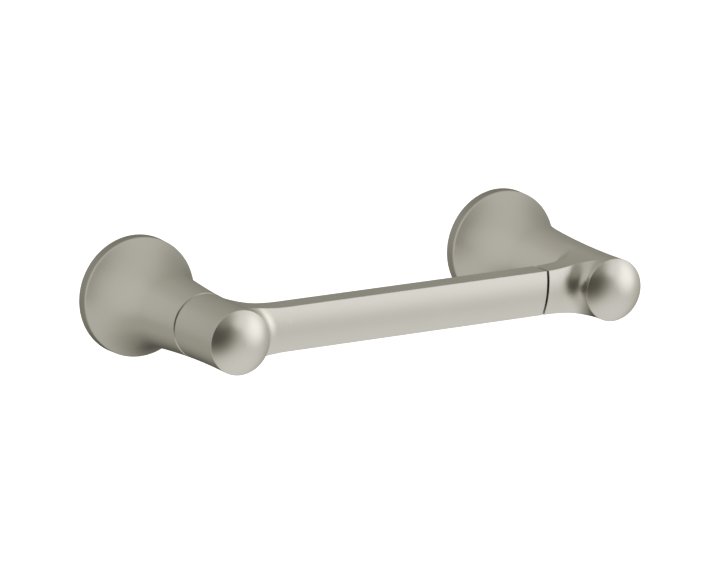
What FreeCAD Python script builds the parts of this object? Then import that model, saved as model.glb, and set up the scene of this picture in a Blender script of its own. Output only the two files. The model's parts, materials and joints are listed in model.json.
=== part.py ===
import FreeCAD, Part
import math
import os
import Sketcher
from FreeCAD import Placement, Rotation, Vector

# Wall-mounted toilet paper holder with two posts. The bar is one casting with the left
# knuckle and swings up about the left post; its free end lies on the right post's stub.
# +X runs along the bar, -Y points into the room, +Z is up. The origin is on the wall,
# half way between the two posts. All sizes are in millimetres.

doc = FreeCAD.newDocument("toilet_paper_holder")
sheet = doc.addObject("Spreadsheet::Sheet", "Sizes")

# how finely the faces that sweep into the knuckle are drawn
BLEND_END = 80  # degrees of a blend's arc before its short straight tail
BLEND_STEP = 8  # degrees
BLEND_FLAT_STEPS = 6
FLARE_FLAT_STEPS = 3
FLARE_STEPS = 12
ROOT_ROWS = 14  # rows of a blend on each side of the bar's middle height

SIZES = {
    # how far a tool or a hidden end reaches past the face it has to cross
    "overlap": "1",
    # the two posts on the wall
    "post_spacing": "178",
    "half_spacing": "=post_spacing / 2",
    "rim_radius": "25.74",
    "rim_front_radius": "25.56",
    "rim_round": "1.6",
    "bell_radius": "71",
    "bell_end": "35",
    "waist_bend": "520",
    "waist_radius": "13.42",
    "waist_depth": "84",
    "waist_centre": "=waist_radius + waist_bend",
    "dome_edge": "93.45",
    "dome_height": "5",
    "dome_top": "=dome_edge + dome_height",
    "dome_flat": "0.15",
    # hollow inside of the posts
    "socket_radius": "20.5",
    "socket_depth": "8",
    "throat_radius": "16.8",
    "throat_depth": "17",
    "neck_radius": "13.6",
    "neck_depth": "27",
    "core_radius": "12",
    "core_depth": "38",
    "core_end_radius": "11",
    "left_core_end": "55.2",
    "right_core_end": "84",
    # seam between the left post and the swing arm
    "seam_depth": "62.4",
    "seam_gap": "0.4",
    "post_end": "=seam_depth - seam_gap / 2",
    "knuckle_back": "=seam_depth + seam_gap / 2",
    "seam_bevel": "0.45",
    "dome_edge_round": "0.35",
    # bar section, its flare into the knuckle and the slit at its free end
    "bar_half_height": "9.36",
    "bar_middle": "78.45",
    "bar_half_depth": "6.95",
    "bar_bulge": "1.8",
    "bar_edge_offset": "=bar_half_depth - bar_bulge",
    "bar_face_radius": "=(bar_half_height ^ 2 + bar_bulge ^ 2) / (2 * bar_bulge)",
    "bar_front_edge": "=bar_middle + bar_edge_offset",
    "bar_back_edge": "=bar_middle - bar_edge_offset",
    "flare_radius": "80",
    "flare_touch_z": "=(bar_half_height + flare_radius) * waist_radius / (waist_radius + flare_radius)",
    "weld_depth": "0.03",
    "root_core_radius": "13.75",
    "root_core_start": "64.5",
    "root_margin": "0.3",
    "block_length": "40",
    "front_blend": "7.4",
    "back_blend": "8",
    "straight_start": "28",
    "slit_top": "62.4",
    "slit_bottom": "60.2",
    "slit_gap": "1",
    "slit_slant": "=(slit_top - slit_bottom) / 2",
    "bar_height": "=2 * bar_half_height",
    "arm_end_top": "=half_spacing + slit_top + slit_slant - slit_gap / 2",
    "arm_end_bottom": "=half_spacing + slit_bottom - slit_slant - slit_gap / 2",
    "stub_end_top": "=half_spacing - slit_top - slit_slant - slit_gap / 2",
    "stub_end_bottom": "=half_spacing - slit_bottom + slit_slant - slit_gap / 2",
    # pivot: bolt, bushings and washers on the left post's axis
    "bush_outer": "5",
    "bush_inner": "4.05",
    "flange_radius": "8.5",
    "recess_radius": "8.6",
    "recess_depth": "0.9",
    "front_flange": "1.2",
    "front_seat": "=post_end - recess_depth",
    "front_flange_end": "=front_seat + front_flange",
    "front_sleeve_end": "59",
    "rear_sleeve_end": "58.5",
    "rear_flange": "1",
    "rear_flange_end": "=left_core_end - rear_flange",
    "washer_bore": "4.2",
    "thrust_thickness": "1",
    "thrust_end": "=rear_flange_end - thrust_thickness",
    "running_gap": "0.1",
    "spring_outer": "7.8",
    "spring_rim": "=thrust_end - running_gap",
    "spring_thickness": "0.6",
    "spring_rise": "0.8",
    "spring_rim_back": "=spring_rim - spring_thickness",
    "spring_hub": "=spring_rim - spring_rise",
    "spring_hub_back": "=spring_hub - spring_thickness",
    "head_radius": "6.5",
    "head_length": "6",
    "head_back": "=spring_hub_back - head_length",
    "shoulder_radius": "4",
    "shoulder_end": "66",
    "thread_radius": "3",
    "thread_end": "76",
    "tapped_radius": "2.55",
    "tapped_end": "78",
    "key_width": "5",
    "key_depth": "3",
    # stop lug of the left post, running in an arc groove in the knuckle
    "lug_circle": "10.9",
    "lug_radius": "1",
    "lug_length": "2.7",
    "lug_play": "0.3",
    "groove_spare_angle": "2",
    "groove_inner": "9.5",
    "groove_outer": "12.3",
    "groove_depth": "2.9",
    "lift_angle": "100",
    # tongue of the right stub that carries the free end of the bar, with its nylon pad
    "tongue_tip": "56.5",
    "tongue_width": "6",
    "tongue_height": "4",
    "pad_thickness": "1",
    "pad_inset": "0.4",
    "pad_length": "3.6",
    "pad_stem_radius": "1",
    "pad_stem_length": "2",
    "notch_wall": "55.5",
    "notch_width": "7.6",
    # wall brackets and set screws
    "bracket_back_radius": "16.5",
    "bracket_step": "0.5",
    "bracket_front_radius": "19.2",
    "bracket_depth": "9",
    "screw_hole_spacing": "22",
    "screw_hole_radius": "2.4",
    "sink_radius": "4.6",
    "set_screw_depth": "2.4",
    "set_screw_radius": "1.5",
    "set_tapped_radius": "1.25",
    "set_screw_head": "25.2",
    "set_screw_tip": "17.5",
    "set_tip_radius": "0.8",
    "set_tip_length": "1",
    "set_screw_shank": "=set_screw_tip + set_tip_length",
    "set_key_width": "1.5",
    "set_key_depth": "2",
}

for row, (alias, value) in enumerate(SIZES.items(), start=1):
    sheet.set(f"A{row}", alias)
    sheet.set(f"B{row}", value)
    sheet.setAlias(f"B{row}", alias)
doc.recompute()


def size(alias):
    """The value of a sheet cell; a leading minus sign turns it round, and "0" is zero."""
    if alias == "0":
        return 0.0
    if alias.startswith("-"):
        return -float(getattr(sheet, alias[1:]))
    return float(getattr(sheet, alias))


def cell(alias):
    """The expression that reads a sheet cell, with its sign."""
    if alias.startswith("-"):
        return "-Sizes." + alias[1:]
    return "Sizes." + alias


# ---------------------------------------------------------------- drawing helpers

def new_body(name):
    body = doc.addObject("PartDesign::Body", name)
    body.Label = name
    return body


def new_sketch(body, name, plane):
    """A sketch on one of the body's own origin planes, such as XY_Plane."""
    sketch = body.newObject("Sketcher::SketchObject", name)
    for feature in body.Origin.OriginFeatures:
        if feature.Role == plane:
            sketch.AttachmentSupport = (feature, [""])
    sketch.MapMode = "FlatFace"
    return sketch


def free_sketch(name, rotation):
    """A sketch outside any body, turned from the XY plane."""
    sketch = doc.addObject("Sketcher::SketchObject", name)
    sketch.Placement = Placement(Vector(0, 0, 0), rotation)
    return sketch


def fix_point(sketch, edge, end, across, along):
    """Hold one end of an edge at sheet distances from the sketch origin."""
    if across == "0":
        sketch.addConstraint(Sketcher.Constraint("PointOnObject", edge, end, -2))
    else:
        index = sketch.addConstraint(
            Sketcher.Constraint("DistanceX", -1, 1, edge, end, size(across)))
        sketch.setExpression(f"Constraints[{index}]", cell(across))
    if along == "0":
        sketch.addConstraint(Sketcher.Constraint("PointOnObject", edge, end, -1))
    else:
        index = sketch.addConstraint(
            Sketcher.Constraint("DistanceY", -1, 1, edge, end, size(along)))
        sketch.setExpression(f"Constraints[{index}]", cell(along))


def draw_polygon(sketch, corners):
    """Closed outline of straight lines; every corner is a pair of sheet names."""
    points = [Vector(size(across), size(along), 0) for across, along in corners]
    count = len(points)
    for index in range(count):
        following = points[(index + 1) % count]
        sketch.addGeometry(Part.LineSegment(points[index], following), False)
    for index in range(count):
        joint = Sketcher.Constraint("Coincident", index, 2, (index + 1) % count, 1)
        sketch.addConstraint(joint)
    for index, (across, along) in enumerate(corners):
        fix_point(sketch, index, 1, across, along)


def revolve(body, sketch, kind="PartDesign::Revolution", angle=360.0):
    """Turn a sketch about the body's Y axis, adding or removing material."""
    feature = body.newObject(kind, sketch.Name + "_turn")
    feature.Profile = sketch
    feature.ReferenceAxis = (sketch, ["V_Axis"])
    feature.Angle = angle
    doc.recompute()
    return feature


def turned_body(name, corners):
    """A body turned from one polygon of radius and depth."""
    body = new_body(name)
    sketch = new_sketch(body, name + "_outline", "XY_Plane")
    draw_polygon(sketch, corners)
    revolve(body, sketch)
    return body


def turned_cut(body, name, corners):
    """Remove a turned shape from a body."""
    sketch = new_sketch(body, name, "XY_Plane")
    draw_polygon(sketch, corners)
    revolve(body, sketch, "PartDesign::Groove")


def shift(item, across="0", depth="0", height="0"):
    """Place an object by sheet distances along X, Y and Z."""
    for axis, alias in (("x", across), ("y", depth), ("z", height)):
        if alias != "0":
            item.setExpression("Placement.Base." + axis, cell(alias))


def boolean(kind, name, base, tool):
    item = doc.addObject("Part::" + kind, name)
    item.Base = base
    item.Tool = tool
    item.Label = name
    doc.recompute()
    return item


# ---------------------------------------------------------------- turned outsides

def arc_between(centre, radius, start, end):
    """The shorter arc from start to end, turning anticlockwise."""
    circle = Part.Circle(centre, Vector(0, 0, 1), radius)
    first = math.atan2(start.y - centre.y, start.x - centre.x)
    last = math.atan2(end.y - centre.y, end.x - centre.x)
    return Part.ArcOfCircle(circle, first, last)


def waist_x(depth):
    """Radius of the slender part of a post at a depth from the wall."""
    bend = size("waist_bend")
    return size("waist_centre") - math.sqrt(bend ** 2 - (depth - size("waist_depth")) ** 2)


def add_waist_arc(sketch, near, far):
    """The long hollow arc of a post between two depths; returns its number."""
    centre = Vector(size("waist_centre"), -size("waist_depth"), 0)
    start = Vector(waist_x(near), -near, 0)
    end = Vector(waist_x(far), -far, 0)
    arc = sketch.addGeometry(arc_between(centre, size("waist_bend"), start, end), False)
    fix_point(sketch, arc, 3, "waist_centre", "-waist_depth")
    index = sketch.addConstraint(Sketcher.Constraint("Radius", arc, size("waist_bend")))
    sketch.setExpression(f"Constraints[{index}]", cell("waist_bend"))
    return arc


def fix_depth(sketch, edge, end, alias):
    index = sketch.addConstraint(
        Sketcher.Constraint("DistanceY", -1, 1, edge, end, -size(alias)))
    sketch.setExpression(f"Constraints[{index}]", cell("-" + alias))


def add_line(sketch, start, end):
    return sketch.addGeometry(Part.LineSegment(start, end), False)


def join(sketch, first, first_end, second, second_end):
    sketch.addConstraint(
        Sketcher.Constraint("Coincident", first, first_end, second, second_end))


def add_dome(sketch, waist_arc):
    """Dome over the front of a post, with a tiny flat at its middle; returns the flat."""
    edge = Vector(waist_x(size("dome_edge")), -size("dome_edge"), 0)
    top = Vector(size("dome_flat"), -size("dome_top"), 0)
    height = size("dome_height")
    middle = (top.y + edge.y + (edge.x ** 2 - top.x ** 2) / height) / 2
    centre = Vector(0, middle, 0)
    radius = edge.distanceToPoint(centre)
    dome = sketch.addGeometry(arc_between(centre, radius, top, edge), False)
    sketch.addConstraint(Sketcher.Constraint("PointOnObject", dome, 3, -2))
    join(sketch, dome, 2, waist_arc, 2)
    fix_point(sketch, dome, 1, "dome_flat", "-dome_top")
    flat = add_line(sketch, top, Vector(0, top.y, 0))
    join(sketch, dome, 1, flat, 1)
    sketch.addConstraint(Sketcher.Constraint("Horizontal", flat))
    sketch.addConstraint(Sketcher.Constraint("PointOnObject", flat, 2, -2))
    return flat


def bell_sketch(body, front_depth, domed):
    """Outline of a post: rim band, bell, waist and, where wanted, the dome."""
    sketch = new_sketch(body, body.Name + "_outline", "XY_Plane")
    bell_radius = size("bell_radius")
    turn = Vector(waist_x(size("bell_end")), -size("bell_end"), 0)
    waist_mid = Vector(size("waist_centre"), -size("waist_depth"), 0)
    bell_mid = turn + (waist_mid - turn).normalize() * bell_radius
    rim_x = size("rim_front_radius")
    rim_y = bell_mid.y + math.sqrt(bell_radius ** 2 - (bell_mid.x - rim_x) ** 2)
    rim_front = Vector(rim_x, rim_y, 0)
    rim_back = Vector(size("rim_radius"), 0, 0)

    band = add_line(sketch, rim_back, rim_front)
    bell = sketch.addGeometry(arc_between(bell_mid, bell_radius, rim_front, turn), False)
    waist = add_waist_arc(sketch, size("bell_end"), size(front_depth))
    fix_point(sketch, band, 1, "rim_radius", "0")
    join(sketch, band, 2, bell, 1)
    sketch.addConstraint(Sketcher.Constraint("Tangent", bell, 2, waist, 1))
    index = sketch.addConstraint(Sketcher.Constraint("Radius", bell, bell_radius))
    sketch.setExpression(f"Constraints[{index}]", cell("bell_radius"))
    index = sketch.addConstraint(
        Sketcher.Constraint("DistanceX", -1, 1, band, 2, rim_x))
    sketch.setExpression(f"Constraints[{index}]", cell("rim_front_radius"))
    fix_depth(sketch, waist, 1, "bell_end")
    fix_depth(sketch, waist, 2, front_depth)
    if domed:
        last = add_dome(sketch, waist)
    else:
        front = Vector(0, -size(front_depth), 0)
        last = add_line(sketch, Vector(waist_x(size(front_depth)), front.y, 0), front)
        join(sketch, waist, 2, last, 1)
        fix_point(sketch, last, 2, "0", "-" + front_depth)
    front_y = -size("dome_top") if domed else -size(front_depth)
    spine = add_line(sketch, Vector(0, front_y, 0), Vector(0, 0, 0))
    join(sketch, last, 2, spine, 1)
    join(sketch, spine, 2, -1, 1)
    base = add_line(sketch, Vector(0, 0, 0), rim_back)
    join(sketch, spine, 2, base, 1)
    join(sketch, base, 2, band, 1)
    return sketch


def rings(feature, radius, depth=None):
    """Names of a feature's round edges of one radius, at one depth where it is given."""
    names = []
    for number, edge in enumerate(feature.Shape.Edges, start=1):
        if edge.Degenerated or not isinstance(edge.Curve, Part.Circle):
            continue
        if abs(edge.Curve.Radius - radius) > 0.001:
            continue
        if depth is None or abs(edge.Curve.Center.y + depth) < 0.001:
            names.append(f"Edge{number}")
    return names


def soften(body, kind, names, dimension, alias):
    """Fillet or chamfer some edges of the body's last feature."""
    base = body.Tip
    feature = body.newObject("PartDesign::" + kind, body.Name + "_" + alias)
    feature.Base = (base, names)
    feature.setExpression(dimension, cell(alias))
    doc.recompute()


def hollow_corners(core_end):
    """Outline of the hollow inside a post, from the wall to the end of its core."""
    return [
        ("0", "0"),
        ("socket_radius", "0"),
        ("socket_radius", "-socket_depth"),
        ("throat_radius", "-throat_depth"),
        ("neck_radius", "-neck_depth"),
        ("core_radius", "-core_depth"),
        ("core_end_radius", "-" + core_end),
        ("0", "-" + core_end),
    ]


def post_body(name, front_depth, domed, core_end):
    body = new_body(name)
    outline = bell_sketch(body, front_depth, domed)
    outside = revolve(body, outline)
    soften(body, "Fillet", rings(outside, size("rim_front_radius")), "Radius", "rim_round")
    front = size(front_depth)
    edge = rings(body.Tip, waist_x(front), front)
    if domed:
        soften(body, "Fillet", edge, "Radius", "dome_edge_round")
    else:
        soften(body, "Chamfer", edge, "Size", "seam_bevel")
    turned_cut(body, name + "_hollow", hollow_corners(core_end))
    return body


def knuckle_body():
    """Front part of the left post that turns with the bar."""
    body = new_body("knuckle")
    sketch = new_sketch(body, "knuckle_outline", "XY_Plane")
    back = size("knuckle_back")
    waist = add_waist_arc(sketch, back, size("dome_edge"))
    fix_depth(sketch, waist, 1, "knuckle_back")
    fix_depth(sketch, waist, 2, "dome_edge")
    flat = add_dome(sketch, waist)
    spine = add_line(sketch, Vector(0, -size("dome_top"), 0), Vector(0, -back, 0))
    join(sketch, flat, 2, spine, 1)
    fix_point(sketch, spine, 2, "0", "-knuckle_back")
    base = add_line(sketch, Vector(0, -back, 0), Vector(waist_x(back), -back, 0))
    join(sketch, spine, 2, base, 1)
    join(sketch, base, 2, waist, 1)
    outside = revolve(body, sketch)
    front = size("dome_edge")
    soften(body, "Fillet", rings(outside, waist_x(front), front), "Radius", "dome_edge_round")
    soften(body, "Chamfer", rings(body.Tip, waist_x(back), back), "Size", "seam_bevel")
    turned_cut(body, "knuckle_bore", [
        ("0", "-knuckle_back"),
        ("bush_inner", "-knuckle_back"),
        ("bush_inner", "-shoulder_end"),
        ("tapped_radius", "-shoulder_end"),
        ("tapped_radius", "-tapped_end"),
        ("0", "-tapped_end"),
    ])
    return body


# ---------------------------------------------------------------- bar and stub

def barrel_y(height, side):
    """Depth of the bar's bulging face at a height; side is -1 in front, +1 behind."""
    radius = size("bar_face_radius")
    crown = size("bar_half_depth")
    sag = radius - math.sqrt(radius ** 2 - height ** 2)
    return -size("bar_middle") + side * (crown - sag)


def blend_row(height, side, blend):
    """Points along one height from the straight bar round into the knuckle."""
    face = barrel_y(height, side)
    knuckle = waist_x(abs(face + side * blend)) - size("weld_depth")
    waist = math.sqrt(knuckle ** 2 - height ** 2)
    start = size("straight_start")
    bend = waist + blend
    points = []
    for step in range(BLEND_FLAT_STEPS):
        points.append(Vector(start + (bend - start) * step / BLEND_FLAT_STEPS, face, height))
    for angle in range(0, BLEND_END + 1, BLEND_STEP):
        turn = math.radians(angle)
        across = bend - blend * math.sin(turn)
        depth = face + side * blend * (1 - math.cos(turn))
        points.append(Vector(across, depth, height))
    tail = math.radians(BLEND_END)
    inward = Vector(-math.cos(tail), side * math.sin(tail), 0)
    points.append(points[-1] + inward * size("overlap"))
    return points


def flare_row(depth, side):
    """Points along one depth from the bar's flat top or bottom up to the knuckle."""
    radius = size("flare_radius")
    knuckle = waist_x(depth) - size("weld_depth")
    level = size("bar_half_height") + radius
    bend = math.sqrt((knuckle + radius) ** 2 - level ** 2)
    sweep = math.asin(bend / (knuckle + radius))
    start = size("straight_start")
    points = []
    for step in range(FLARE_FLAT_STEPS):
        across = start + (bend - start) * step / FLARE_FLAT_STEPS
        points.append(Vector(across, -depth, side * size("bar_half_height")))
    for step in range(FLARE_STEPS + 1):
        turn = sweep * step / FLARE_STEPS
        height = level - radius * math.cos(turn)
        points.append(Vector(bend - radius * math.sin(turn), -depth, side * height))
    return points


def block_behind(rows, depth, height):
    """Block behind the smooth surface through rows of points, along Y or Z."""
    surface = Part.BSplineSurface()
    surface.interpolate(rows)
    return surface.toShape().extrude(Vector(0, depth, height) * size("block_length"))


def flared_root():
    """The end of the bar where all four faces sweep out into the knuckle."""
    reach = size("flare_touch_z") + size("root_margin")
    heights = [reach * row / ROOT_ROWS for row in range(-ROOT_ROWS, ROOT_ROWS + 1)]
    first = size("knuckle_back") - size("overlap")
    last = size("dome_edge") + size("overlap")
    depths = [first + (last - first) * step / FLARE_STEPS for step in range(FLARE_STEPS + 1)]
    front_rows = [blend_row(height, -1, size("front_blend")) for height in heights]
    back_rows = [blend_row(height, 1, size("back_blend")) for height in heights]
    upper_rows = [flare_row(depth, 1) for depth in depths]
    lower_rows = [flare_row(depth, -1) for depth in depths]
    # the core carries the back block's end on into the knuckle
    start = size("root_core_start")
    core = Part.makeCylinder(size("root_core_radius"), size("dome_edge") - start,
                             Vector(0, -start, 0), Vector(0, -1, 0))
    back = block_behind(back_rows, -1, 0).fuse(core)
    shape = block_behind(front_rows, 1, 0)
    shape = shape.common(back)
    shape = shape.common(block_behind(upper_rows, 0, -1))
    shape = shape.common(block_behind(lower_rows, 0, 1))
    root = doc.addObject("Part::Feature", "flared_root")
    root.Shape = shape
    return root


def barrel_prism(name, end):
    """Straight bar of barrel section: flat top and bottom, bulging front and back."""
    sketch = free_sketch(name + "_section", Rotation(Vector(1, 1, 1), 120))
    height = size("bar_half_height")
    faces = []
    for side in (-1, 1):
        edge = -size("bar_middle") + side * size("bar_edge_offset")
        crown = -size("bar_middle") + side * size("bar_half_depth")
        low = Vector(edge, -height, 0)
        high = Vector(edge, height, 0)
        arc = Part.Arc(low, Vector(crown, 0, 0), high)
        faces.append(sketch.addGeometry(arc, False))
    front, back = faces
    ends = {front: (2, 1), back: (1, 2)}
    for face, alias in ((front, "-bar_front_edge"), (back, "-bar_back_edge")):
        low_end, high_end = ends[face]
        fix_point(sketch, face, low_end, alias, "-bar_half_height")
        fix_point(sketch, face, high_end, alias, "bar_half_height")
        index = sketch.addConstraint(
            Sketcher.Constraint("Radius", face, size("bar_face_radius")))
        sketch.setExpression(f"Constraints[{index}]", cell("bar_face_radius"))
    for place in (0, 1):
        level = (-height, height)[place]
        line = add_line(sketch, Vector(-size("bar_front_edge"), level, 0),
                        Vector(-size("bar_back_edge"), level, 0))
        join(sketch, line, 1, front, ends[front][place])
        join(sketch, line, 2, back, ends[back][place])
    prism = doc.addObject("Part::Extrusion", name)
    prism.Base = sketch
    prism.Dir = Vector(1, 0, 0)
    prism.DirMode = "Custom"
    prism.Solid = True
    prism.LengthFwd = end
    prism.Placement = Placement(Vector(size("straight_start"), 0, 0), Rotation())
    doc.recompute()
    return prism


def end_slab(name, far_top, far_bottom):
    """Block with the slanting end of the bar or stub, taller than the bar."""
    sketch = free_sketch(name + "_outline", Rotation(Vector(1, 0, 0), 90))
    draw_polygon(sketch, [
        ("0", "-bar_height"),
        (far_bottom, "-bar_height"),
        (far_top, "bar_height"),
        ("0", "bar_height"),
    ])
    slab = doc.addObject("Part::Extrusion", name)
    slab.Base = sketch
    slab.Dir = Vector(0, -1, 0)
    slab.DirMode = "Custom"
    slab.Solid = True
    slab.setExpression("LengthFwd", "Sizes.dome_top")
    doc.recompute()
    return slab


def limb(name, root, end_top, end_bottom):
    """Bar or stub that grows out of a post towards +X."""
    prism = barrel_prism(name + "_prism", max(size(end_top), size(end_bottom)))
    slab = end_slab(name + "_side", end_top, end_bottom)
    blank = boolean("Fuse", name + "_blank", root, prism)
    return boolean("Common", name, blank, slab)


# ---------------------------------------------------------------- small tools

def box(name, across, depth, height, length, width, thickness):
    """A plain block given by its low corner and its three edges, in millimetres."""
    item = doc.addObject("Part::Box", name)
    item.Length = length
    item.Width = width
    item.Height = thickness
    item.Placement = Placement(Vector(across, depth, height), Rotation())
    return item


def rod(name, radius, length, start, direction):
    """A round rod from a start point along a direction."""
    item = doc.addObject("Part::Cylinder", name)
    item.setExpression("Radius", cell(radius))
    item.Height = length
    item.Placement = Placement(start, Rotation(Vector(0, 0, 1), direction))
    return item


def set_screw_tunnel(body):
    """Tapped hole from below through the wall of a post."""
    sketch = new_sketch(body, body.Name + "_tapped_hole", "XY_Plane")
    sketch.addGeometry(Part.Circle(
        Vector(0, -size("set_screw_depth"), 0), Vector(0, 0, 1), size("set_tapped_radius")), False)
    fix_point(sketch, 0, 3, "0", "-set_screw_depth")
    index = sketch.addConstraint(
        Sketcher.Constraint("Radius", 0, size("set_tapped_radius")))
    sketch.setExpression(f"Constraints[{index}]", cell("set_tapped_radius"))
    hole = body.newObject("PartDesign::Pocket", body.Name + "_set_screw_hole")
    hole.Profile = sketch
    hole.setExpression("Length", "Sizes.rim_radius + Sizes.overlap")
    doc.recompute()
    middle = Vector(0, -size("set_screw_depth"), -(size("socket_radius") + size("rim_radius")) / 2)
    assert not body.Shape.isInside(middle, 0.01, True), body.Name


# ---------------------------------------------------------------- left post

def make_left_post():
    body = post_body("left_post_shell", "post_end", False, "left_core_end")
    turned_cut(body, "left_bush_bore", [
        ("0", "-left_core_end"),
        ("bush_outer", "-left_core_end"),
        ("bush_outer", "-front_seat"),
        ("recess_radius", "-front_seat"),
        ("recess_radius", "-post_end"),
        ("0", "-post_end"),
    ])
    set_screw_tunnel(body)
    overlap = size("overlap")
    lug_start = Vector(-size("lug_circle"), overlap - size("post_end"), 0)
    lug = rod("stop_lug", "lug_radius", size("lug_length") + overlap, lug_start, Vector(0, -1, 0))
    post = boolean("Fuse", "left_post", body, lug)
    shift(post, "-half_spacing")
    return post


def make_swing_arm(root):
    body = knuckle_body()
    bar = limb("arm_bar", root, "arm_end_top", "arm_end_bottom")
    casting = boolean("Fuse", "arm_casting", body, bar)
    notch_length = size("slit_top") - size("notch_wall")
    notch_top = size("pad_thickness") + size("running_gap")
    drop = size("bar_half_height") + size("overlap")
    notch = box("arm_notch", size("half_spacing") + size("notch_wall"),
                -size("bar_middle") - size("notch_width") / 2, -drop,
                notch_length, size("notch_width"), drop + notch_top)
    notched = boolean("Cut", "arm_notched", casting, notch)
    groove = doc.addObject("Part::Feature", "stop_groove")
    groove.Shape = stop_groove_shape()
    arm = boolean("Cut", "swing_arm", notched, groove)
    shift(arm, "-half_spacing")
    return arm


def stop_groove_shape():
    """Arc groove in the knuckle's back that lets the arm lift between its stops."""
    inner = size("groove_inner")
    width = size("groove_outer") - inner
    back = -size("knuckle_back")
    depth = size("groove_depth")
    overlap = size("overlap")
    corners = [
        Vector(inner, back + overlap, 0),
        Vector(inner + width, back + overlap, 0),
        Vector(inner + width, back - depth, 0),
        Vector(inner, back - depth, 0),
    ]
    face = Part.Face(Part.makePolygon(corners + corners[:1]))
    lug_space = size("lug_radius") + size("lug_play")
    slack = math.degrees(math.asin(lug_space / size("lug_circle")))
    first = 180 - size("lift_angle") - slack
    last = 180 + slack + size("groove_spare_angle")
    face.rotate(Vector(0, 0, 0), Vector(0, -1, 0), first)
    return face.revolve(Vector(0, 0, 0), Vector(0, -1, 0), last - first)


# ---------------------------------------------------------------- right post

def make_right_post(root):
    body = post_body("right_post_shell", "dome_edge", True, "right_core_end")
    set_screw_tunnel(body)
    stub = limb("stub_bar", root, "stub_end_top", "stub_end_bottom")
    # hollow again where the stub's root reaches into the post's core
    length = size("right_core_end") - size("seam_depth")
    stub_core = rod("stub_core", "core_end_radius", length,
                    Vector(0, -size("seam_depth"), 0), Vector(0, -1, 0))
    stub_shell = boolean("Cut", "stub_shell", stub, stub_core)
    mirrored = doc.addObject("Part::Mirroring", "stub_mirrored")
    mirrored.Source = stub_shell
    mirrored.Normal = Vector(1, 0, 0)
    doc.recompute()
    casting = boolean("Fuse", "right_casting", body, mirrored)
    tongue_start = size("tongue_tip") - size("half_spacing")
    tongue_end = size("slit_top") + 2 * size("overlap") - size("half_spacing")
    tongue = box("tongue", tongue_start, -size("bar_middle") - size("tongue_width") / 2,
                 -size("tongue_height"), tongue_end - tongue_start,
                 size("tongue_width"), size("tongue_height"))
    with_tongue = boolean("Fuse", "right_with_tongue", casting, tongue)
    stem_hole = rod("stem_hole", "pad_stem_radius", size("pad_stem_length") + size("running_gap"),
                    pad_centre() + Vector(0, 0, size("running_gap")), Vector(0, 0, -1))
    post = boolean("Cut", "right_post", with_tongue, stem_hole)
    shift(post, "half_spacing")
    return post


def pad_centre():
    """Middle of the rest pad's underside, from the right post's axis."""
    across = size("tongue_tip") + size("pad_inset") + size("pad_length") / 2
    return Vector(across - size("half_spacing"), -size("bar_middle"), 0)


def make_rest_pad():
    """Nylon pad on the tongue, with a stem pressed into it."""
    middle = pad_centre()
    width = size("tongue_width") - 2 * size("pad_inset")
    plate = box("rest_pad_plate", middle.x - size("pad_length") / 2, middle.y - width / 2,
                0, size("pad_length"), width, size("pad_thickness"))
    stem = rod("rest_pad_stem", "pad_stem_radius", size("pad_stem_length"),
               middle, Vector(0, 0, -1))
    pad = boolean("Fuse", "rest_pad", plate, stem)
    shift(pad, "half_spacing")
    return pad


# ---------------------------------------------------------------- pivot hardware

def make_pivot_bolt():
    blank = turned_body("pivot_bolt_blank", [
        ("0", "-head_back"),
        ("head_radius", "-head_back"),
        ("head_radius", "-spring_hub_back"),
        ("shoulder_radius", "-spring_hub_back"),
        ("shoulder_radius", "-shoulder_end"),
        ("thread_radius", "-shoulder_end"),
        ("thread_radius", "-thread_end"),
        ("0", "-thread_end"),
    ])
    key = hexagon_cut("pivot_bolt_key", "key_width", "key_depth")
    key.Placement = Placement(
        Vector(0, -size("head_back"), 0), Rotation(Vector(0, 0, 1), Vector(0, -1, 0)))
    bolt = boolean("Cut", "pivot_bolt", blank, key)
    shift(bolt, "-half_spacing")
    return bolt


def hexagon_cut(name, width, depth):
    """Hexagonal key socket from its own origin along +Z."""
    prism = doc.addObject("Part::Prism", name)
    prism.Polygon = 6
    prism.setExpression("Circumradius", f"Sizes.{width} / sqrt(3)")
    prism.setExpression("Height", cell(depth))
    return prism


def make_bushings():
    front = turned_body("front_bushing", [
        ("bush_inner", "-front_sleeve_end"),
        ("bush_outer", "-front_sleeve_end"),
        ("bush_outer", "-front_seat"),
        ("flange_radius", "-front_seat"),
        ("flange_radius", "-front_flange_end"),
        ("bush_inner", "-front_flange_end"),
    ])
    rear = turned_body("rear_bushing", [
        ("bush_inner", "-rear_flange_end"),
        ("flange_radius", "-rear_flange_end"),
        ("flange_radius", "-left_core_end"),
        ("bush_outer", "-left_core_end"),
        ("bush_outer", "-rear_sleeve_end"),
        ("bush_inner", "-rear_sleeve_end"),
    ])
    return [front, rear]


def make_washers():
    thrust = turned_body("thrust_washer", [
        ("washer_bore", "-thrust_end"),
        ("flange_radius", "-thrust_end"),
        ("flange_radius", "-rear_flange_end"),
        ("washer_bore", "-rear_flange_end"),
    ])
    spring = turned_body("disc_spring", [
        ("washer_bore", "-spring_hub_back"),
        ("spring_outer", "-spring_rim_back"),
        ("spring_outer", "-spring_rim"),
        ("washer_bore", "-spring_hub"),
    ])
    return [thrust, spring]


# ---------------------------------------------------------------- wall side

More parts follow.
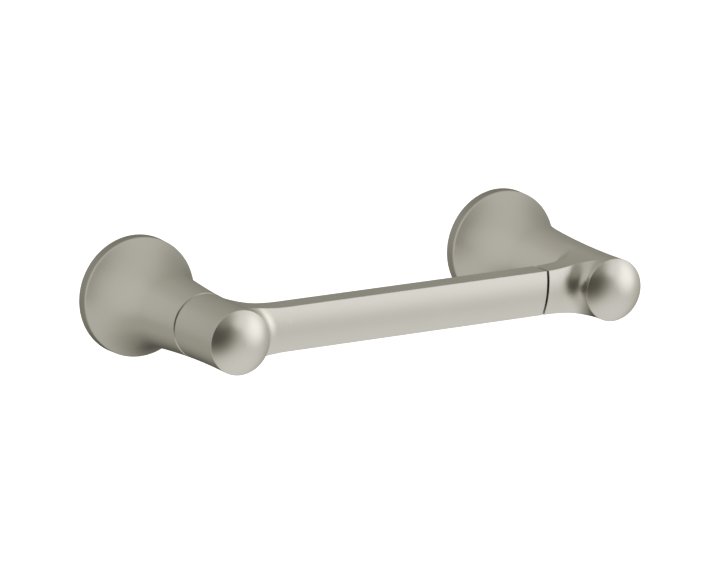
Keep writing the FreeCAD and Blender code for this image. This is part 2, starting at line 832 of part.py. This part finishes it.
def make_bracket(name, across):
    """Dovetail disc screwed to the wall; the post hooks over it."""
    body = turned_body(name, [
        ("0", "0"),
        ("bracket_back_radius", "0"),
        ("bracket_back_radius", "-bracket_step"),
        ("bracket_front_radius", "-bracket_depth"),
        ("0", "-bracket_depth"),
    ])
    sketch = new_sketch(body, name + "_holes", "XZ_Plane")
    for place in (-1, 1):
        height = place * size("screw_hole_spacing") / 2
        number = sketch.addGeometry(Part.Circle(
            Vector(0, height, 0), Vector(0, 0, 1), size("screw_hole_radius")), False)
        sketch.addConstraint(Sketcher.Constraint("PointOnObject", number, 3, -2))
        index = sketch.addConstraint(
            Sketcher.Constraint("DistanceY", -1, 1, number, 3, height))
        sketch.setExpression(
            f"Constraints[{index}]", f"{place} * Sizes.screw_hole_spacing / 2")
        index = sketch.addConstraint(
            Sketcher.Constraint("Radius", number, size("screw_hole_radius")))
        sketch.setExpression(f"Constraints[{index}]", "Sizes.screw_hole_radius")
    holes = body.newObject("PartDesign::Pocket", name + "_screw_holes")
    holes.Profile = sketch
    holes.Type = "ThroughAll"
    holes.Midplane = True
    doc.recompute()
    sink_rims(body, holes)
    shift(body, across)
    return body


def sink_rims(body, holes):
    """Countersink the screw holes on the room side of a bracket."""
    names = rings(holes, size("screw_hole_radius"), size("bracket_depth"))
    sink = body.newObject("PartDesign::Chamfer", body.Name + "_countersinks")
    sink.Base = (holes, names)
    sink.setExpression("Size", "Sizes.sink_radius - Sizes.screw_hole_radius")
    doc.recompute()


def make_set_screws():
    """The two set screws that lock the posts on their brackets."""
    blank = turned_body("set_screw_blank", [
        ("0", "set_screw_tip"),
        ("set_tip_radius", "set_screw_tip"),
        ("set_screw_radius", "set_screw_shank"),
        ("set_screw_radius", "set_screw_head"),
        ("0", "set_screw_head"),
    ])
    key = hexagon_cut("set_screw_key", "set_key_width", "set_key_depth")
    key.Placement = Placement(
        Vector(0, size("set_screw_head"), 0), Rotation(Vector(0, 0, 1), Vector(0, -1, 0)))
    screw = boolean("Cut", "set_screw_keyed", blank, key)
    pair = []
    for side in (-1, 1):
        copy = screw.Shape.copy()
        copy.rotate(Vector(0, 0, 0), Vector(1, 0, 0), -90)
        copy.translate(Vector(side * size("half_spacing"), -size("set_screw_depth"), 0))
        pair.append(copy)
    group = doc.addObject("Part::Feature", "set_screws")
    group.Shape = Part.makeCompound(pair)
    return group


# ---------------------------------------------------------------- assembly and export

root = flared_root()
pieces = [
    make_left_post(),
    make_swing_arm(root),
    make_right_post(root),
    make_rest_pad(),
    make_pivot_bolt(),
    make_bracket("left_wall_bracket", "-half_spacing"),
    make_bracket("right_wall_bracket", "half_spacing"),
    make_set_screws(),
]
for part in make_bushings() + make_washers():
    shift(part, "-half_spacing")
    pieces.append(part)
doc.recompute()

for item in doc.Objects:
    assert "Invalid" not in item.State and "Error" not in item.State, item.Name
os.makedirs("parts", exist_ok=True)
for piece in pieces:
    assert not piece.Shape.isNull() and piece.Shape.isValid(), piece.Label
    piece.Shape.exportStep(f"parts/{piece.Label}.step")
    bounds = piece.Shape.BoundBox
    print(f"{piece.Label:20s} solids {len(piece.Shape.Solids)} volume {piece.Shape.Volume:9.1f}"
          f"  X {bounds.XMin:7.2f} {bounds.XMax:7.2f}  Y {bounds.YMin:7.2f} {bounds.YMax:6.2f}"
          f"  Z {bounds.ZMin:6.2f} {bounds.ZMax:6.2f}")
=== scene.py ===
import json
import math
import bpy
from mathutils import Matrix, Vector

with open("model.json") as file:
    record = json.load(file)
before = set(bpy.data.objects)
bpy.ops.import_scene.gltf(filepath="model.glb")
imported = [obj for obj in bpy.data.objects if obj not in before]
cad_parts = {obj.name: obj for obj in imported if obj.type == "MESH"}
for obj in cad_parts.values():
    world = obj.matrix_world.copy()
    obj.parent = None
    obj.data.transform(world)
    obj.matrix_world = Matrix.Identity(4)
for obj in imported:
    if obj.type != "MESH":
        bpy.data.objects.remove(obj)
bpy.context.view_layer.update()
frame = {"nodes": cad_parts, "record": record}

nodes = frame["nodes"]
scene = bpy.context.scene

# Studio picture of a wall-mounted toilet paper holder in satin nickel. The CAD nodes carry
# the shape; this script gives them their metal and plastic, the light and the camera.
# The origin is on the wall, half way between the two posts. +X runs along the bar, -Y
# points into the room and +Z is up. Lengths are in metres, angles in degrees.

# metal: noise scales of its cloudy sheen and its grain, depth of the grain, and the radius
# with which its sharp edges catch the light
SHEEN_SCALE = 45
GRAIN_SCALE = 5200
GRAIN_DEPTH = 0.00002
EDGE_RADIUS = 0.0004

# painted shade: metal close to the wall, such as the rim bands, is darkened in its colour
# for the shade of the wall corner it would mirror; the shade fades in between these two
# places on Y
WALL_SHADE_START = -0.0056
WALL_SHADE_FULL = -0.0036
WALL_SHADE_TONE = (0.6, 0.6, 0.59)

# nylon: noise scale, depth and strength of its mottle
MOTTLE_SCALE = 600
MOTTLE_DEPTH = 0.00003
MOTTLE_STRENGTH = 0.2

# direction of the broad light on the right: azimuth and elevation
SOFTBOX = (55, 15)

# Level of the studio sky, and the soft round areas laid over it in turn. Each has the azimuth
# and elevation of its middle, the angles from there at which it starts to fade and is gone,
# and the brightness the sky takes in it.
SKY_LEVEL = 0.7
SKY_AREAS = {
    "wall side": (165, -15, 20, 75, 0.3),
    "dark foot of the wall": (160, -20, 5, 30, 0.03),
    "bright floor": (35, -60, 0, 60, 0.95),
    "softbox": (*SOFTBOX, 5, 40, 1.45),
    "dark room by the camera": (-45, 20, 20, 65, 0.1),
    "left side": (-125, 20, 10, 45, 0.75),
    "wall behind": (-175, 0, 10, 40, 0.45),
    "ceiling lamp": (25, 40, 15, 25, 1.1),
    "dim ceiling": (-30, 60, 0, 40, 0.4),
    "low on the left": (-145, -30, 5, 20, 0.5),
}
WHITE = (1, 1, 1)
WARM_SHADE = (1, 0.96, 0.76)

FLOOR_WIDTH = 120
FLOOR_HEIGHT = -1.8
FLOOR_CLOUD_SCALE = 3
FLOOR_DARK = (0.9, 0.9, 0.9)
FLOOR_LIGHT = (0.93, 0.93, 0.93)
FLOOR_ROUGHNESS = 0.9
FLOOR_GLOW = 0.75

LAMP_DISTANCE = 3
LAMP_WIDTH = 1.6
LAMP_WATTS = 0.6

CAMERA_TARGET = Vector((0, -0.045, 0))
CAMERA_AZIMUTH = -30
CAMERA_ELEVATION = 13.79
CAMERA_DISTANCE = 1.91
SENSOR_WIDTH = 36  # millimetres
FOCAL_LENGTH = 227.8  # millimetres
SHIFT_RIGHT = -0.01735
SHIFT_UP = 0.01382


# ---------------------------------------------------------------- node helpers

def new_material(name):
    material = bpy.data.materials.new(name)
    material.use_nodes = True
    tree = material.node_tree
    tree.nodes.clear()
    output = tree.nodes.new("ShaderNodeOutputMaterial")
    shader = tree.nodes.new("ShaderNodeBsdfPrincipled")
    tree.links.new(shader.outputs["BSDF"], output.inputs["Surface"])
    return material, tree, shader


def object_coords(tree):
    return tree.nodes.new("ShaderNodeTexCoord").outputs["Object"]


def add_noise(tree, coords, scale, detail):
    """Even noise from 0 to 1 over coordinates."""
    noise = tree.nodes.new("ShaderNodeTexNoise")
    noise.inputs["Scale"].default_value = scale
    noise.inputs["Detail"].default_value = detail
    tree.links.new(coords, noise.inputs["Vector"])
    return noise.outputs["Fac"]


def add_range(tree, value, low, high):
    """Spread a 0 to 1 value between low and high."""
    spread = tree.nodes.new("ShaderNodeMapRange")
    spread.inputs["To Min"].default_value = low
    spread.inputs["To Max"].default_value = high
    tree.links.new(value, spread.inputs["Value"])
    return spread.outputs["Result"]


def add_step(tree, value, low, high):
    """0 below low, 1 above high, and a smooth rise between them."""
    step = tree.nodes.new("ShaderNodeMapRange")
    step.interpolation_type = "SMOOTHSTEP"
    step.inputs["From Min"].default_value = low
    step.inputs["From Max"].default_value = high
    tree.links.new(value, step.inputs["Value"])
    return step.outputs["Result"]


def add_mix(tree, factor, first, second):
    """Colour between two constant colours."""
    mix = tree.nodes.new("ShaderNodeMix")
    mix.data_type = "RGBA"
    mix.inputs["A"].default_value = (*first, 1)
    mix.inputs["B"].default_value = (*second, 1)
    tree.links.new(factor, mix.inputs["Factor"])
    return mix.outputs["Result"]


def add_product(tree, first, second):
    """Two colours multiplied."""
    product = tree.nodes.new("ShaderNodeMix")
    product.data_type = "RGBA"
    product.blend_type = "MULTIPLY"
    product.inputs["Factor"].default_value = 1
    tree.links.new(first, product.inputs["A"])
    tree.links.new(second, product.inputs["B"])
    return product.outputs["Result"]


def add_math(tree, operation, first, second):
    """One operation on two values, each a number or a socket."""
    node = tree.nodes.new("ShaderNodeMath")
    node.operation = operation
    for socket, value in zip(node.inputs, (first, second)):
        if isinstance(value, (int, float)):
            socket.default_value = value
        else:
            tree.links.new(value, socket)
    return node.outputs["Value"]


def add_bump(tree, height, strength, distance):
    bump = tree.nodes.new("ShaderNodeBump")
    bump.inputs["Strength"].default_value = strength
    bump.inputs["Distance"].default_value = distance
    tree.links.new(height, bump.inputs["Height"])
    return bump


# ---------------------------------------------------------------- materials

def painted_wall_shade(tree, coords):
    """Painted shade: white away from the wall, and the darker shade tone as close to it as
    the rim bands are.
    """
    split = tree.nodes.new("ShaderNodeSeparateXYZ")
    tree.links.new(coords, split.inputs["Vector"])
    wall_shade_mask = add_step(tree, split.outputs["Y"], WALL_SHADE_START, WALL_SHADE_FULL)
    return add_mix(tree, wall_shade_mask, WHITE, WALL_SHADE_TONE)


def metal(name, light, dark, rough, grain):
    """Metal with a fine grain, a cloudy sheen, a slightly uneven polish and painted shade
    near the wall.
    """
    material, tree, shader = new_material(name)
    coords = object_coords(tree)
    sheen = add_noise(tree, coords, SHEEN_SCALE, detail=3)
    plating = add_mix(tree, sheen, dark, light)
    # painted shade: the plating colour is darkened close to the wall
    shaded_plating = add_product(tree, plating, painted_wall_shade(tree, coords))
    tree.links.new(shaded_plating, shader.inputs["Base Color"])
    tree.links.new(add_range(tree, sheen, *rough), shader.inputs["Roughness"])
    edges = tree.nodes.new("ShaderNodeBevel")
    edges.inputs["Radius"].default_value = EDGE_RADIUS
    fine = add_noise(tree, coords, GRAIN_SCALE, detail=2)
    bump = add_bump(tree, fine, grain, GRAIN_DEPTH)
    tree.links.new(edges.outputs["Normal"], bump.inputs["Normal"])
    tree.links.new(bump.outputs["Normal"], shader.inputs["Normal"])
    shader.inputs["Metallic"].default_value = 1
    return material


def plastic(name, light, dark, rough):
    """Moulded nylon, slightly mottled and waxy."""
    material, tree, shader = new_material(name)
    mottle = add_noise(tree, object_coords(tree), MOTTLE_SCALE, detail=3)
    tree.links.new(add_mix(tree, mottle, dark, light), shader.inputs["Base Color"])
    tree.links.new(add_range(tree, mottle, *rough), shader.inputs["Roughness"])
    bump = add_bump(tree, mottle, MOTTLE_STRENGTH, MOTTLE_DEPTH)
    tree.links.new(bump.outputs["Normal"], shader.inputs["Normal"])
    return material


finishes = {
    "satin_casting": metal(
        "satin_nickel", light=(0.62, 0.602, 0.556), dark=(0.6, 0.582, 0.538),
        rough=(0.27, 0.33), grain=0.15),
    "bracket_casting": metal(
        "bare_casting", light=(0.55, 0.55, 0.55), dark=(0.4, 0.4, 0.41),
        rough=(0.45, 0.65), grain=0.6),
    "steel_hardware": metal(
        "zinc_plate", light=(0.66, 0.67, 0.68), dark=(0.55, 0.56, 0.57),
        rough=(0.25, 0.38), grain=0.3),
    "nylon": plastic(
        "white_nylon", light=(0.8, 0.79, 0.75), dark=(0.74, 0.73, 0.69),
        rough=(0.38, 0.55)),
}

for part in frame["record"]["subparts"]:
    node = nodes[part["node"]]
    node.data.materials.clear()
    node.data.materials.append(finishes[part["material_slot"]])


# ---------------------------------------------------------------- light and floor

def direction(azimuth, elevation):
    """Unit vector; azimuth turns from -Y, the room side, towards +X."""
    turn = math.radians(azimuth)
    lift = math.radians(elevation)
    level = math.cos(lift)
    return Vector((math.sin(turn) * level, -math.cos(turn) * level, math.sin(lift)))


def sky_area(tree, sky, azimuth, elevation, inner, outer):
    """1 in the middle of a round area of sky, falling smoothly to 0 at its outer angle."""
    dot = tree.nodes.new("ShaderNodeVectorMath")
    dot.operation = "DOT_PRODUCT"
    dot.inputs[1].default_value = direction(azimuth, elevation)
    tree.links.new(sky, dot.inputs[0])
    outer_cosine = math.cos(math.radians(outer))
    inner_cosine = math.cos(math.radians(inner))
    return add_step(tree, dot.outputs["Value"], outer_cosine, inner_cosine)


def studio_world():
    """Studio sky: one even level with the soft light and dark areas laid over it."""
    world = bpy.data.worlds.new("studio")
    world.use_nodes = True
    tree = world.node_tree
    tree.nodes.clear()
    output = tree.nodes.new("ShaderNodeOutputWorld")
    background = tree.nodes.new("ShaderNodeBackground")
    tree.links.new(background.outputs["Background"], output.inputs["Surface"])
    sky = tree.nodes.new("ShaderNodeTexCoord").outputs["Generated"]
    level = SKY_LEVEL
    for azimuth, elevation, inner, outer, bright in SKY_AREAS.values():
        area = sky_area(tree, sky, azimuth, elevation, inner, outer)
        kept = add_math(tree, "MULTIPLY", add_math(tree, "SUBTRACT", 1, area), level)
        level = add_math(tree, "ADD", kept, add_math(tree, "MULTIPLY", area, bright))
    tint = add_mix(tree, level, WARM_SHADE, WHITE)
    tree.links.new(tint, background.inputs["Color"])
    tree.links.new(level, background.inputs["Strength"])
    scene.world = world


def studio_floor():
    """Broad pale floor far below the holder, which the metal doesn't mirror."""
    bpy.ops.mesh.primitive_plane_add(size=FLOOR_WIDTH, location=(0, 0, FLOOR_HEIGHT))
    floor = bpy.context.object
    floor.name = "studio_floor"
    material, tree, shader = new_material("pale_floor")
    clouds = add_noise(tree, object_coords(tree), FLOOR_CLOUD_SCALE, detail=2)
    tone = add_mix(tree, clouds, FLOOR_DARK, FLOOR_LIGHT)
    tree.links.new(tone, shader.inputs["Base Color"])
    shader.inputs["Roughness"].default_value = FLOOR_ROUGHNESS
    shader.inputs["Emission Color"].default_value = (*WHITE, 1)
    shader.inputs["Emission Strength"].default_value = FLOOR_GLOW
    floor.data.materials.append(material)
    floor.visible_glossy = False


def studio_lamp():
    """Large dim area light in the middle of the bright side."""
    lamp = bpy.data.lights.new("softbox", "AREA")
    lamp.shape = "DISK"
    lamp.size = LAMP_WIDTH
    lamp.energy = LAMP_WATTS
    softbox = bpy.data.objects.new("softbox", lamp)
    softbox.location = direction(*SOFTBOX) * LAMP_DISTANCE
    softbox.rotation_euler = softbox.location.to_track_quat("Z", "Y").to_euler()
    scene.collection.objects.link(softbox)


# ---------------------------------------------------------------- camera

def studio_camera():
    """Long lens from the left of the holder, a little above it."""
    data = bpy.data.cameras.new("camera")
    data.sensor_width = SENSOR_WIDTH
    data.lens = FOCAL_LENGTH
    data.shift_x = SHIFT_RIGHT
    data.shift_y = SHIFT_UP
    camera = bpy.data.objects.new("camera", data)
    offset = direction(CAMERA_AZIMUTH, CAMERA_ELEVATION) * CAMERA_DISTANCE
    camera.location = CAMERA_TARGET + offset
    aim = (CAMERA_TARGET - camera.location).to_track_quat("-Z", "Y")
    camera.rotation_euler = aim.to_euler()
    scene.collection.objects.link(camera)
    scene.camera = camera


studio_world()
studio_floor()
studio_lamp()
studio_camera()
scene.view_settings.view_transform = "Standard"
